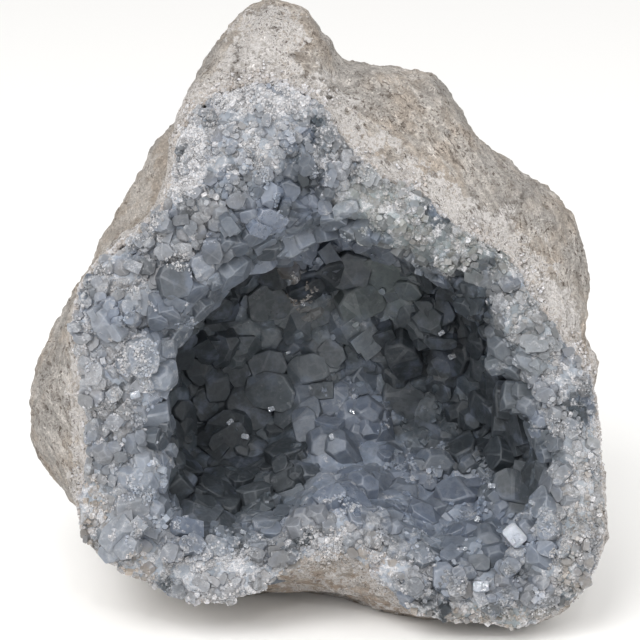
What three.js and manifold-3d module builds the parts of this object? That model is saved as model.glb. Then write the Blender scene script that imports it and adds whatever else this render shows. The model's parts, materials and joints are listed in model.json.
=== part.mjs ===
// Celestite geode: a hollow nodule of pale limestone marl, broken open at the front, with a hollow that is
// lined with one crust of grey-blue celestite crystals. The crust runs out over the broken rim of the rock.
//
// Millimetres. +Z is up, -Y is the open front, +X is the right-hand side seen from the front.
// The origin is the middle of the small flat spot that the stone stands on.
import * as THREE from "three";
import { ConvexHull } from "three/addons/math/ConvexHull.js";
import { ImprovedNoise } from "three/addons/math/ImprovedNoise.js";
import { mergeVertices } from "three/addons/utils/BufferGeometryUtils.js";
import Module from "manifold-3d";

const wasm = await Module();
wasm.setup();

// ---------------------------------------------------------------- driving dimensions

// The axis that every ring of the stone is measured around, as X and Z in the front view.
const AXIS = { x: 8, z: 84 };

// The rim's face is a plane that leans back: its depth at the axis, and the depth gained per mm of height.
const RIM_DEPTH = -36;
const RIM_LEAN = 0.26;

// Outline of the stone at its girth, as [x, z], clockwise from the knob on its top.
const GIRTH = [
  [-12, 203], [-1, 195], [4, 182], [14, 177], [29, 176], [38, 172], [46, 159], [60, 145], [82, 133],
  [88, 121], [88, 102], [86, 78], [86, 56], [84, 30], [74, 9], [52, -3], [20, -4], [-10, -3],
  [-42, -2], [-64, 9], [-76, 28], [-94, 37], [-101, 49], [-99, 68], [-91, 86], [-73, 109], [-60, 125],
  [-44, 146], [-41, 163], [-38, 181], [-29, 194],
];

// Outer edge of the crystal-covered rim, where the bare rock begins.
const RIM = [
  [-10, 175], [2, 167], [9, 155], [20, 146], [32, 141], [40, 133], [52, 126], [61, 120], [67, 110],
  [75, 98], [84, 88], [88, 72], [89, 54], [90, 37], [87, 24], [77, 13], [64, 7], [48, 9], [30, 12],
  [21, 21], [9, 30], [-4, 29], [-17, 22], [-27, 16], [-42, 16], [-56, 22], [-69, 29], [-77, 38],
  [-77, 48], [-73, 60], [-73, 72], [-76, 86], [-77, 109], [-70, 120], [-56, 130], [-47, 140],
  [-46, 155], [-40, 166], [-28, 173],
];

// The stone just behind the rim. Its underside arches up between two lobes.
const SHOULDER = [
  [-12, 187], [2, 184], [8, 172], [20, 162], [33, 158], [44, 147], [56, 136], [70, 126], [79, 112],
  [83, 99], [88, 88], [92, 71], [93, 52], [94, 34], [88, 17], [76, 4], [58, 0], [38, 3], [22, 7],
  [9, 9], [-8, 12], [-20, 14], [-30, 12], [-44, 13], [-58, 19], [-72, 30], [-81, 39], [-87, 50],
  [-87, 66], [-84, 84], [-79, 106], [-67, 121], [-55, 133], [-46, 149], [-42, 165], [-31, 180],
];

// Mouth of the hollow, between its crystals.
const MOUTH = [
  [3, 136], [27, 126], [40, 118], [49, 110], [57, 100], [67, 87], [74, 74], [78, 57], [80, 41],
  [72, 28], [53, 24], [33, 27], [17, 38], [0, 39], [-20, 29], [-37, 29], [-49, 39], [-52, 54],
  [-53, 70], [-52, 86], [-49, 100], [-38, 110], [-27, 118], [-18, 128], [-7, 134],
];

// The hollow at its widest, behind the mouth.
const HALL = [
  [0, 140], [25, 133], [46, 122], [58, 106], [64, 88], [68, 66], [68, 47], [61, 33], [44, 28],
  [18, 34], [0, 37], [-22, 32], [-44, 33], [-58, 44], [-64, 62], [-64, 84], [-56, 104], [-38, 120],
  [-18, 134],
];

const HOLLOW_POLE = { x: 8, y: 34, z: 80 }; // the hollow's deepest point
const BACK_POLE = { x: -2, y: 66, z: 92 }; // the stone's backmost point
const BACK_HALF = { width: 86, height: 92 }; // half the width and height of the stone's rounder back

const CRUST_BODY = 5; // the crust's thickness inside the hollow, without its crystals
const CRUST_EDGE = 3.2; // the crust's thickness at the rim's outer edge
const CRUST_GAP = 0.3; // clearance between the crust's back and the rock it sits on
const LIP_GAP = 0.4; // clearance between the crust's edge and the lip of rock around it
const LIP_GROOVE = 1.2; // how much deeper the rock is in the groove at the crust's edge
const LIP_DROP = 1.4; // how far the lip stays behind the crust's face
const RIM_WALL = 3; // how much wider than the crust the rock is at least, just behind the rim

// Smooth lumps of each surface: how high, how wide, and where in the noise they are taken from.
const RIM_LUMPS = { height: 3, size: 24, offset: 2.2 };
const CRUST_LUMPS = { height: 2.2, size: 19, offset: 3.7 };
const ROCK_LUMPS = { height: 3.2, size: 34, offset: 1.3 };
const ROCK_BUMPS = { height: 1.6, size: 13, offset: 5.9 };

// Low ledges across the rock: how high, how far apart, how steeply they climb, and how they wander.
const LEDGES = { height: 1.2, spacing: 15, climb: 0.5, wander: { height: 3, size: 40, offset: 8.1 } };

// Crystals: their widths in mm by place, and the ranges that their other proportions are picked from.
const WIDTHS = { hollow: 11, upperRim: 8, lowerRightRim: 12 };
const WIDTH_RANGE = [0.7, 1.3]; // times the width for the place
const HEIGHT_RANGE = [0.28, 0.68]; // per mm of width
const TAPER_RANGE = [0.62, 0.86]; // width of the top per mm of foot
const SIDE_RANGE = [0.1, 0.2]; // least height of a side, and its most over the middle, per mm of width
const RIDGE = { rise: 0.28, length: 0.4 }; // of a roof-shaped top, per mm of width
const ROOF_SHARE = 0.4; // how many of the crystals have a roof-shaped top
const LEAN = 0.42; // how far a crystal's top leans off the crust's normal, as a tangent
const SEED = 33;
const DARTS = 16000; // tries at seating a crystal

const AROUND = 60; // facets around each ring
const LAST_SHARE = 1.2; // how far out crystals are laid, before the crust is trimmed at share 1
const RUNOUT = 150; // how far the crust's face runs on past the rim per unit of share
const WALL_REACH = 40; // how far the wall around the crust stands forward
const FAR = 400; // well clear of the stone
const TABLE_SIZE = 720; // steps of angle in an outline's table of radii
const SHEET_STEPS = 60; // steps and turns that the crust's face is measured in when it is spread flat
const SHEET_TURNS = 24;

// ---------------------------------------------------------------- the stone's surface

const noise = new ImprovedNoise();

// Noise reaches about this far from 0, so lumps come out at their full height.
const NOISE_REACH = 0.625;

function lumps(p, { height, size, offset }) {
  const value = noise.noise(p.x / size + offset, p.y / size + 2 * offset, p.z / size - offset);
  return (height * value) / NOISE_REACH;
}

// Points spread evenly around a full turn, from a function of the angle.
function aroundTurn(count, make) {
  return Array.from({ length: count }, (_, i) => make((2 * Math.PI * i) / count));
}

// The radius of a closed outline around the axis, as a function of the angle from +X towards +Z.
function polarRadius(outline) {
  const points = outline.map(([x, z]) => new THREE.Vector3(x - AXIS.x, 0, z - AXIS.z));
  const samples = new THREE.CatmullRomCurve3(points, true, "centripetal")
    .getPoints(TABLE_SIZE)
    .map((p) => ({ angle: Math.atan2(p.z, p.x), radius: Math.hypot(p.x, p.z) }));
  const table = aroundTurn(TABLE_SIZE, (angle) => {
    const gap = (sample) => turnBetween(sample.angle, angle);
    return samples.reduce((best, sample) => (gap(sample) < gap(best) ? sample : best)).radius;
  });
  return (angle) => {
    const place = THREE.MathUtils.euclideanModulo((angle / (2 * Math.PI)) * TABLE_SIZE, TABLE_SIZE);
    const below = Math.floor(place) % TABLE_SIZE;
    return THREE.MathUtils.lerp(table[below], table[(below + 1) % TABLE_SIZE], place - Math.floor(place));
  };
}

function turnBetween(a, b) {
  return Math.abs(Math.atan2(Math.sin(a - b), Math.cos(a - b)));
}

// The stone's back is rounder than its front: an ellipse.
const BACK_ROUND = aroundTurn(24, (angle) => [
  BACK_POLE.x + BACK_HALF.width * Math.cos(angle),
  BACK_POLE.z + BACK_HALF.height * Math.sin(angle),
]);

const rimRadius = polarRadius(RIM);
const shoulderRadius = polarRadius(SHOULDER);

const radiusOf = {
  girth: polarRadius(GIRTH),
  shoulder: (angle) => Math.max(shoulderRadius(angle), rimRadius(angle) + RIM_WALL),
  round: polarRadius(BACK_ROUND),
  rim: rimRadius,
  mouth: polarRadius(MOUTH),
  hall: polarRadius(HALL),
};

// A point of a ring: on its outline, or on a blend of two, at a depth that may lean with height and width.
function ringPoint(angle, ring) {
  const { from, to = from, blend = 0, depth, lean = 0, skew = 0, rippled, pole, shrink = 1 } = ring;
  const radius = THREE.MathUtils.lerp(radiusOf[from](angle), radiusOf[to](angle), blend);
  let x = AXIS.x + radius * Math.cos(angle);
  let z = AXIS.z + radius * Math.sin(angle);
  if (pole) {
    x = THREE.MathUtils.lerp(pole.x, x, shrink);
    z = THREE.MathUtils.lerp(pole.z, z, shrink);
  }
  const ripple = rippled ? lumps({ x, y: 0, z }, RIM_LUMPS) : 0;
  return new THREE.Vector3(x, depth + lean * (z - AXIS.z) + skew * (x - AXIS.x) + ripple, z);
}

// The rings from the hollow's deepest point out to the rim, and from the rim round to the stone's back.
const INNER_RINGS = [
  { from: "hall", depth: HOLLOW_POLE.y, pole: HOLLOW_POLE, shrink: 0 },
  { from: "hall", depth: 33, pole: HOLLOW_POLE, shrink: 0.42 },
  { from: "hall", depth: 21, pole: HOLLOW_POLE, shrink: 0.82 },
  { from: "hall", depth: -2, lean: 0.08 },
  { from: "hall", to: "mouth", blend: 0.75, depth: RIM_DEPTH + 17, lean: 0.2 },
  { from: "mouth", depth: RIM_DEPTH + 5, lean: RIM_LEAN },
  { from: "mouth", to: "rim", blend: 0.5, depth: RIM_DEPTH, lean: RIM_LEAN },
  { from: "rim", depth: RIM_DEPTH + 4, lean: RIM_LEAN, rippled: true },
];
const OUTER_RINGS = [
  { from: "rim", depth: RIM_DEPTH + 4, lean: RIM_LEAN, rippled: true },
  { from: "shoulder", depth: RIM_DEPTH + 15, lean: 0.2, skew: -0.04 },
  { from: "girth", depth: 4, lean: 0.06, skew: -0.1 },
  { from: "girth", to: "round", blend: 0.7, depth: 38, pole: BACK_POLE, shrink: 0.9 },
  { from: "round", depth: 58, pole: BACK_POLE, shrink: 0.6 },
  { from: "round", depth: BACK_POLE.y, pole: BACK_POLE, shrink: 0 },
];

// The point at `angle` and at a share of the way along a run of rings.
function along(rings, angle, share) {
  const curve = new THREE.CatmullRomCurve3(rings.map((r) => ringPoint(angle, r)), false, "centripetal");
  return curve.getPoint(share);
}

// Raised and sunken places on the hollow's crust: where, how wide, how high.
const CRUST_MOUNDS = [
  { at: [8, 12, 40], width: 25, height: 9 }, // the mound on the floor's middle
  { at: [4, 28, 66], width: 22, height: 8 }, // the cluster on the back wall
  { at: [-12, -8, 134], width: 22, height: 6 }, // crystals that hang from the ceiling
  { at: [36, 26, 96], width: 18, height: 6 },
  { at: [-30, -22, 150], width: 16, height: 5 }, // the swelling above the mouth
  { at: [62, -40, 34], width: 16, height: 4 },
  { at: [62, 4, 118], width: 20, height: -6 }, // the deep pocket at the upper right
  { at: [-58, 6, 56], width: 20, height: -5 },
];

// Knobs, ledges and dents on the bare rock.
const ROCK_MOUNDS = [
  { at: [-14, -4, 190], width: 22, height: 5 }, // the knob's round front
  { at: [36, -2, 172], width: 16, height: 4 }, // the shoulder
  { at: [12, 2, 184], width: 11, height: -4 }, // the saddle between them
  { at: [70, -12, 128], width: 24, height: 4 },
  { at: [-86, -10, 62], width: 22, height: 4 },
  { at: [-62, -6, 128], width: 14, height: -3 },
  { at: [84, 2, 92], width: 12, height: -4 },
  { at: [-40, 56, 128], width: 30, height: 5 },
  { at: [46, 52, 60], width: 34, height: 5 },
  { at: [20, 50, 140], width: 20, height: -6 },
  { at: [-56, 46, 50], width: 22, height: -5 },
];

function moundHeight(p, mounds) {
  return mounds.reduce((sum, m) => {
    const away = p.distanceTo(new THREE.Vector3(...m.at)) / m.width;
    return sum + m.height * Math.exp(-2 * away * away);
  }, 0);
}

// The outward normal of a run of rings, from the way they go around and along.
function normalAt(rings, angle, share) {
  const step = 0.02;
  const around = along(rings, angle + step, share).sub(along(rings, angle - step, share));
  const [before, after] = [Math.max(0, share - step), Math.min(1, share + step)];
  const onwards = along(rings, angle, after).sub(along(rings, angle, before));
  return onwards.cross(around).normalize();
}

// The way out of the rock into the hollow, as [share, degrees turned from the front towards the axis]. It
// turns more gently than the surface does, so an offset along it never folds.
const WAY_OUT = [
  [0, 0], [0.15, 25], [0.3, 60], [0.45, 85], [0.6, 110], [0.68, 105], [0.76, 62], [0.86, 10], [1, 0],
];

function wayOut(angle, share) {
  const above = Math.max(1, WAY_OUT.findIndex(([s]) => s >= share));
  const [[s0, turn0], [s1, turn1]] = [WAY_OUT[above - 1], WAY_OUT[above]];
  const turn = THREE.MathUtils.degToRad(THREE.MathUtils.mapLinear(share, s0, s1, turn0, turn1));
  const inwards = Math.sin(turn);
  return new THREE.Vector3(-inwards * Math.cos(angle), -Math.cos(turn), -inwards * Math.sin(angle));
}

// The crust's face without its crystals. `sunk` takes the point back into the stone.
function crustPoint(angle, share, sunk = 0) {
  const p = along(INNER_RINGS, angle, share);
  const fade = THREE.MathUtils.smoothstep(1 - share, 0, 0.12);
  const raised = fade * (moundHeight(p, CRUST_MOUNDS) + lumps(p, CRUST_LUMPS));
  return p.addScaledVector(wayOut(angle, share), raised - sunk);
}

// The same face, run on past the rim's edge, where a share is more than 1.
function facePoint(angle, share) {
  return outwards(crustPoint(angle, Math.min(1, share)), angle, RUNOUT * Math.max(0, share - 1));
}

function outwards(p, angle, by) {
  return p.add(new THREE.Vector3(by * Math.cos(angle), 0, by * Math.sin(angle)));
}

// The crust's thickness, from its thin edge on the rim to its full body in the hollow.
function crustThickness(share) {
  return THREE.MathUtils.lerp(CRUST_EDGE, CRUST_BODY, THREE.MathUtils.smoothstep(1 - share, 0, 0.4));
}

// The rock's weathered outside.
function rockPoint(angle, share) {
  const p = along(OUTER_RINGS, angle, share);
  const atPole = share === 1;
  const normal = atPole ? new THREE.Vector3(0, 1, 0) : normalAt(OUTER_RINGS, angle, share);
  const fade = THREE.MathUtils.smoothstep(share, 0.04, 0.25);
  const fine = 1 - THREE.MathUtils.smoothstep(share, 0.6, 0.85);
  const climb = (2 * Math.PI * (p.z + LEDGES.climb * p.x)) / LEDGES.spacing;
  const ledges = LEDGES.height * Math.sin(climb + lumps(p, LEDGES.wander));
  const smooth = moundHeight(p, ROCK_MOUNDS) + lumps(p, ROCK_LUMPS);
  return p.addScaledVector(normal, fade * (smooth + fine * (lumps(p, ROCK_BUMPS) + ledges)));
}

// A closed mesh from rows of points: each row runs around the stone, and the first and last are one point.
function closedRows(rows) {
  const corners = [];
  const corner = (row, i) => (row.length === 1 ? row[0] : row[i % row.length]);
  for (let r = 0; r + 1 < rows.length; r++) {
    for (let i = 0; i < AROUND; i++) {
      const [a, b] = [corner(rows[r], i), corner(rows[r], i + 1)];
      const [c, d] = [corner(rows[r + 1], i), corner(rows[r + 1], i + 1)];
      if (a !== b) corners.push(a, c, b);
      if (c !== d) corners.push(b, c, d);
    }
  }
  return solidOf(new THREE.BufferGeometry().setFromPoints(corners));
}

// A geometry with its equal corners joined, as a solid that can be cut.
function solidOf(geometry) {
  const bare = new THREE.BufferGeometry().setAttribute("position", geometry.getAttribute("position"));
  if (geometry.index) bare.setIndex(geometry.index);
  const merged = mergeVertices(bare, 1e-4);
  const mesh = new wasm.Mesh({
    numProp: 3,
    vertProperties: merged.attributes.position.array,
    triVerts: new Uint32Array(merged.index.array),
  });
  return new wasm.Manifold(mesh);
}

function rowOf(make, share) {
  return aroundTurn(AROUND, (angle) => make(angle, share));
}

// How far along the inner and the outer rings the rows of facets lie.
const INNER_SHARES = [0.12, 0.26, 0.4, 0.53, 0.64, 0.75, 0.87, 1];
const OUTER_SHARES = [0.08, 0.17, 0.26, 0.35, 0.44, 0.53, 0.61, 0.68, 0.75, 0.82, 0.88, 0.94];

// Rows from the hollow's deepest point out to the rim.
function hollowRows(make) {
  return [[make(0, 0)], ...INNER_SHARES.map((share) => rowOf(make, share))];
}

const crustBack = (angle, share) => crustPoint(angle, share, crustThickness(share));

// The rock's face of the hollow, just behind the crust, with a groove at its edge.
function rockBed(angle, share) {
  const behind = crustThickness(share) + CRUST_GAP;
  if (share < 1) return crustPoint(angle, share, behind);
  return outwards(crustPoint(angle, share, behind + LIP_GROOVE), angle, LIP_GAP);
}

// The lip of rock that stands around the crust.
const rockLip = (angle) => outwards(crustPoint(angle, 1, LIP_DROP), angle, 2 * LIP_GAP);

function rockSolid() {
  return closedRows([
    ...hollowRows(rockBed),
    rowOf(rockLip),
    ...OUTER_SHARES.map((share) => rowOf(rockPoint, share)),
    [rockPoint(0, 1)],
  ]);
}

// The largest of a solid's separate bodies, which leaves out chips that a cut has set free.
function largestBody(solid) {
  return solid.decompose().reduce((best, body) => (body.volume() > best.volume() ? body : best));
}

// ---------------------------------------------------------------- crystals

// The crystals that catch the eye: where they sit (degrees from +X towards +Z, and the share of the way out
// from the hollow's deepest point to the rim), how wide they are and how high for their width.
const LARGE_CRYSTALS = [
  { turn: 28, share: 0.6, width: 14, height: 0.6 }, // hangs under the mouth's upper right edge
  { turn: 350, share: 0.65, width: 13, height: 0.55 }, // on the mouth's right edge
  { turn: 274, share: 0.26, width: 14, height: 0.7 }, // the cluster low on the back wall
  { turn: 256, share: 0.22, width: 12, height: 0.6 },
  { turn: 300, share: 0.35, width: 15, height: 0.6 }, // blocks on the floor's right half
  { turn: 317, share: 0.5, width: 13, height: 0.6 },
  { turn: 318, share: 0.71, width: 13, height: 0.5 },
  { turn: 299, share: 0.77, width: 12, height: 0.5 },
  { turn: 270, share: 0.6, width: 14, height: 0.5 }, // the mound on the floor's middle
  { turn: 250, share: 0.42, width: 14, height: 0.5 },
  { turn: 162, share: 0.86, width: 13, height: 0.5 }, // blades on the left rim
  { turn: 184, share: 0.76, width: 12, height: 0.5 },
  { turn: 206, share: 0.78, width: 15, height: 0.45 },
  { turn: 103, share: 0.9, width: 10, height: 0.5 }, // the swelling above the mouth
];

// How wide a crystal is at this place on the crust.
function crystalWidth(p, share) {
  const lowRight = THREE.MathUtils.smoothstep(p.x - p.z, -20, 60);
  const onRim = THREE.MathUtils.smoothstep(share, 0.6, 0.95);
  const rimWidth = THREE.MathUtils.lerp(WIDTHS.upperRim, WIDTHS.lowerRightRim, lowRight);
  return THREE.MathUtils.lerp(WIDTHS.hollow, rimWidth, onRim);
}

// Seats for the crystals: the large ones first, then more thrown at random where they are clear of the rest.
function crystalSeats() {
  const random = () => THREE.MathUtils.seededRandom();
  const within = ([low, high]) => THREE.MathUtils.lerp(low, high, random());
  THREE.MathUtils.seededRandom(SEED);
  const seats = LARGE_CRYSTALS.map(({ turn, ...crystal }) => {
    const angle = THREE.MathUtils.degToRad(turn);
    return { ...crystal, angle, p: facePoint(angle, crystal.share) };
  });
  for (let dart = 0; dart < DARTS; dart++) {
    const angle = 2 * Math.PI * random();
    const share = LAST_SHARE * random();
    const p = facePoint(angle, share);
    const width = crystalWidth(p, share) * within(WIDTH_RANGE);
    if (seats.some((s) => s.p.distanceTo(p) < 0.5 * (s.width + width))) continue;
    const lowAtEdge = 1 - 0.5 * THREE.MathUtils.smoothstep(share, 0.82, 1);
    seats.push({ p, angle, share, width, height: lowAtEdge * within(HEIGHT_RANGE) });
  }
  const anyLean = () => within([-LEAN, LEAN]);
  return seats.map((seat) => ({
    ...seat,
    lean: new THREE.Vector3(anyLean(), anyLean(), anyLean()),
    taper: within(TAPER_RANGE),
    roof: random() < ROOF_SHARE,
  }));
}

// Spreads the crust's face flat so that small shapes on it keep their angles, and wraps that sheet round a
// ball whose north pole stands for everything behind the stone.
function ballMap() {
  const circle = (step) => {
    const share = (LAST_SHARE * (step + 0.5)) / SHEET_STEPS;
    return aroundTurn(SHEET_TURNS, (angle) => facePoint(angle, share));
  };
  const logRadius = [0];
  for (let step = 1; step <= SHEET_STEPS; step++) {
    const [before, now] = [circle(step - 1), circle(step)];
    const onward = now.reduce((sum, p, k) => sum + p.distanceTo(before[k]), 0) / SHEET_TURNS;
    const around = now.reduce((sum, p, k) => sum + p.distanceTo(now[(k + 1) % SHEET_TURNS]), 0);
    logRadius.push(logRadius[step - 1] + (2 * Math.PI * onward) / around);
  }
  const middle = logRadius[SHEET_STEPS / 2];
  return ({ angle, share }) => {
    const step = (share / LAST_SHARE) * SHEET_STEPS;
    const place = THREE.MathUtils.clamp(step - 0.5, 0, SHEET_STEPS - 0.001);
    const [below, above] = [logRadius[Math.floor(place)], logRadius[Math.floor(place) + 1]];
    const near = Math.min(1, 2 * step);
    const radius = near * Math.exp(THREE.MathUtils.lerp(below, above, place % 1) - middle);
    const scale = 1 / (1 + radius * radius);
    return new THREE.Vector3(
      2 * radius * Math.cos(angle) * scale,
      2 * radius * Math.sin(angle) * scale,
      (radius * radius - 1) * scale,
    );
  };
}

function middleOf(points) {
  return points.reduce((sum, p) => sum.add(p), new THREE.Vector3()).divideScalar(points.length);
}

// The corners around each crystal's foot, where it meets its neighbours, in order around it.
function crystalFeet(seats) {
  const onBall = seats.map(ballMap());
  const behind = new THREE.Vector3(0, 0, 1);
  const seatAt = new Map(onBall.map((point, i) => [point, seats[i]]));
  const hull = new ConvexHull().setFromPoints([...onBall, behind]);
  const startOf = new Map();
  for (const face of hull.faces) {
    const edges = [face.edge, face.edge.next, face.edge.prev];
    const neighbours = edges.map((edge) => seatAt.get(edge.tail().point)).filter(Boolean);
    face.corner = middleOf(neighbours.map((seat) => seat.p));
    for (const edge of edges) startOf.set(edge.tail().point, edge);
  }
  const cornersAround = (point) => {
    const corners = [];
    let edge = startOf.get(point);
    do {
      corners.push(edge.face.corner);
      edge = edge.prev.twin;
    } while (edge !== startOf.get(point));
    return corners;
  };
  return { feet: onBall.map(cornersAround), edge: cornersAround(behind) };
}

// A stubby crystal on its foot: tapered sides, and a tilted top that is flat or folded along a ridge.
function crystalFacets({ angle, share, width, lean, height, taper, roof }, foot) {
  const grows = wayOut(angle, Math.min(1, share));
  const tilted = grows.clone().add(lean).normalize();
  const middle = middleOf(foot);
  const [least, over] = SIDE_RANGE;
  const peak = middle.clone().addScaledVector(grows, height * width);
  const onTop = (q) => {
    const rise = peak.clone().sub(q).dot(tilted) / grows.dot(tilted);
    const side = THREE.MathUtils.clamp(rise / width, least, height + over);
    return q.clone().addScaledVector(grows, side * width);
  };
  const top = foot.map((c) => onTop(middle.clone().lerp(c, taper)));
  const ridge = [0.25, 0.75].map((turn) => {
    const c = foot[Math.floor(turn * foot.length)];
    return onTop(middle.clone().lerp(c, RIDGE.length * taper)).addScaledVector(grows, RIDGE.rise * width);
  });
  const ridgeEnd = (k) => ridge[k < foot.length / 2 ? 0 : 1];
  const facets = [];
  foot.forEach((c, k) => {
    const next = (k + 1) % foot.length;
    facets.push([c, top[next], foot[next]], [c, top[k], top[next]]);
    if (roof) {
      facets.push([top[k], ridgeEnd(k), top[next]]);
      if (ridgeEnd(k) !== ridgeEnd(next)) facets.push([ridgeEnd(k), ridgeEnd(next), top[next]]);
    } else if (k > 0 && next > 0) {
      facets.push([top[0], top[next], top[k]]);
    }
  });
  return facets;
}

// Everything behind the crystals' faces.
function behindCrystals() {
  const seats = crystalSeats();
  const { feet, edge } = crystalFeet(seats);
  const facets = seats.flatMap((seat, i) => crystalFacets(seat, feet[i]));
  const farPole = new THREE.Vector3(AXIS.x, FAR, AXIS.z);
  edge.forEach((c, k) => facets.push([c, farPole, edge[(k + 1) % edge.length]]));
  return solidOf(new THREE.BufferGeometry().setFromPoints(facets.flat()));
}

// ---------------------------------------------------------------- the crust

// Everything behind the crust's back and beyond its edge.
function aroundCrust() {
  const wall = (angle) => crustBack(angle, 1).add(new THREE.Vector3(0, -WALL_REACH, 0));
  return closedRows([
    ...hollowRows(crustBack),
    rowOf(wall),
    rowOf((angle) => outwards(wall(angle), angle, FAR)),
    [new THREE.Vector3(AXIS.x, 3 * FAR, AXIS.z)],
  ]);
}

// ---------------------------------------------------------------- the part

// Everything below the flat spot that the stone stands on.
function belowGround() {
  return solidOf(new THREE.BoxGeometry(FAR, FAR, FAR).translate(0, 0, -FAR / 2));
}

function meshOf(name, solid, material) {
  const { numProp, numVert, vertProperties, triVerts } = solid.getMesh();
  const positions = new Float32Array(numVert * 3);
  for (let i = 0; i < numVert; i++) {
    positions.set(vertProperties.subarray(i * numProp, i * numProp + 3), i * 3);
  }
  const geometry = new THREE.BufferGeometry();
  geometry.setAttribute("position", new THREE.BufferAttribute(positions, 3));
  geometry.setIndex(new THREE.BufferAttribute(new Uint32Array(triVerts), 1));
  const mesh = new THREE.Mesh(geometry, material);
  mesh.name = name;
  return mesh;
}

const stone = { metalness: 0, flatShading: true };
const marl = new THREE.MeshStandardMaterial({ ...stone, color: 0xb5a898, roughness: 0.95 });
const celestite = new THREE.MeshStandardMaterial({ ...stone, color: 0x8e9cae, roughness: 0.3 });

const crust = largestBody(behindCrystals().subtract(aroundCrust()));
const rock = largestBody(rockSolid().subtract(belowGround()));

const geode = new THREE.Group();
geode.add(meshOf("host_rock", rock, marl));
geode.add(meshOf("crystal_crust", crust, celestite));

export default geode;
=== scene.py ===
"""A celestite geode: a broken nodule of pale marl whose hollow is lined with grey-blue crystals.

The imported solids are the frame. The host rock gets a weathered, pitted skin of its own, and the crust gets
its crystals one by one: large blocky ones, middling and fine ones that fill the gaps between them, and
sugary grains where it is frosty. Sizes are in millimetres until they reach a mesh, which is in metres.
"""

import json
import logging
import math
import random
from dataclasses import dataclass, fields, replace
from enum import Enum
from typing import Any, Callable, Iterable, Sequence

import bmesh
import bpy
import numpy as np
from bmesh.types import BMEdge, BMesh, BMFace, BMVert
from bpy.types import Material, Mesh, NodeSocket, Object
from mathutils import Matrix, Vector, noise
from mathutils.bvhtree import BVHTree
from mathutils.kdtree import KDTree

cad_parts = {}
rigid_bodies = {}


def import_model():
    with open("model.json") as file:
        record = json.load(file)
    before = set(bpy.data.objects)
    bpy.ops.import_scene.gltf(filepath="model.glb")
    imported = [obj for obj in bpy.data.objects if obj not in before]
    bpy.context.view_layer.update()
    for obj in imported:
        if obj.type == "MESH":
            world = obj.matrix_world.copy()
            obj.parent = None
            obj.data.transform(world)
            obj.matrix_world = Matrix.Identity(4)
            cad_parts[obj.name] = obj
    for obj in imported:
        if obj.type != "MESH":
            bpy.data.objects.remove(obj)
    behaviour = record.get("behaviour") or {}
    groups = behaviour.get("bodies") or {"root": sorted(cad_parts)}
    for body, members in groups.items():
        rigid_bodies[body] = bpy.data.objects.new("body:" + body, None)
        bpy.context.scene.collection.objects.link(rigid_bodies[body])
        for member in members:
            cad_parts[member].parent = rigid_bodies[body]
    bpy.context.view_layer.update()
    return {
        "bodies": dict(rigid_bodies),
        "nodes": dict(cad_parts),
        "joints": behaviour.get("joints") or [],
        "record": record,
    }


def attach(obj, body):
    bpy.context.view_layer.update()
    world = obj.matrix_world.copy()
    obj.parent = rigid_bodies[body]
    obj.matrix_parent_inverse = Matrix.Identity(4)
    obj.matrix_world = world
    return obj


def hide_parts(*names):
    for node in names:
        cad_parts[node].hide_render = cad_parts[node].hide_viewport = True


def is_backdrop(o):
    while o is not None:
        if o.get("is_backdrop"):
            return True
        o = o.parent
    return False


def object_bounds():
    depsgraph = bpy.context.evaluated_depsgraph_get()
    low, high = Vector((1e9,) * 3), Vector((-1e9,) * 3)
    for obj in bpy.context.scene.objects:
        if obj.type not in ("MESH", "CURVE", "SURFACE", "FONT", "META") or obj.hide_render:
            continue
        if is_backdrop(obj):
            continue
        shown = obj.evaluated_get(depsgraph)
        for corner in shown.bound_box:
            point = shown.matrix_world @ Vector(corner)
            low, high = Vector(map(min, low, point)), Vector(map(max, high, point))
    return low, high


LOG = logging.getLogger("geode")
MM = 0.001
WELD = 0.002 * MM  # corners this close are one
EYE = Vector((0.0, -0.856, 0.367))  # about where the geode is looked at from, in metres
GLINT_LIGHT = Vector((0.12, -1.1, 1.0))  # where the lamp hangs that the glints mirror
TRAITS = ("tone", "frost", "shade", "gloss", "green", "warm")
SKIN_MARKS = ("pit", "rim", "stain", "streaky")
RIM_END = (0.35, 0.8)  # shares of the way into the hollow
PATCH_FADE = (1.3, 0.7)  # in half-sizes of a patch
Span = tuple[float, float]


# ---- small helpers


def smooth_step(value: float, low: float, high: float) -> float:
    """A share from 0 at `low` to 1 at `high`, with soft ends. `low` may be the larger one."""
    t = min(1.0, max(0.0, (value - low) / (high - low)))
    return t * t * (3 - 2 * t)


def ripple(p: Vector, long: float, short: float) -> float:
    """Noise around 0 in waves of one length, with shorter and weaker ones on them."""
    return noise.noise(p / long) + 0.5 * noise.noise(p / short)


def triangulate(bm: BMesh) -> None:
    """Splits whatever has more than three corners."""
    bmesh.ops.triangulate(bm, faces=[f for f in bm.faces if len(f.verts) > 3])


def smooth(bm: BMesh, verts: Sequence[BMVert], factor: float, rounds: int) -> None:
    """Evens out the places of some points, a few times over."""
    every_way = {"use_axis_x": True, "use_axis_y": True, "use_axis_z": True}
    for _ in range(rounds):
        bmesh.ops.smooth_vert(bm, verts=verts, factor=factor, **every_way)


def gap(tree: BVHTree, p: Vector) -> float:
    """How far a place is from a surface, in mm."""
    return tree.find_nearest(p)[3] / MM


def mix(a: float, b: float, share: float) -> float:
    """The value at a share of the way from a to b."""
    return a + (b - a) * share


def linear(hex_colour: str) -> tuple[float, float, float, float]:
    """A colour written as six hex digits, as the linear RGBA that shaders read."""
    channels = [int(hex_colour[i : i + 2], 16) / 255 for i in (0, 2, 4)]
    r, g, b = (c / 12.92 if c <= 0.04045 else ((c + 0.055) / 1.055) ** 2.4 for c in channels)
    return r, g, b, 1.0


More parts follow.
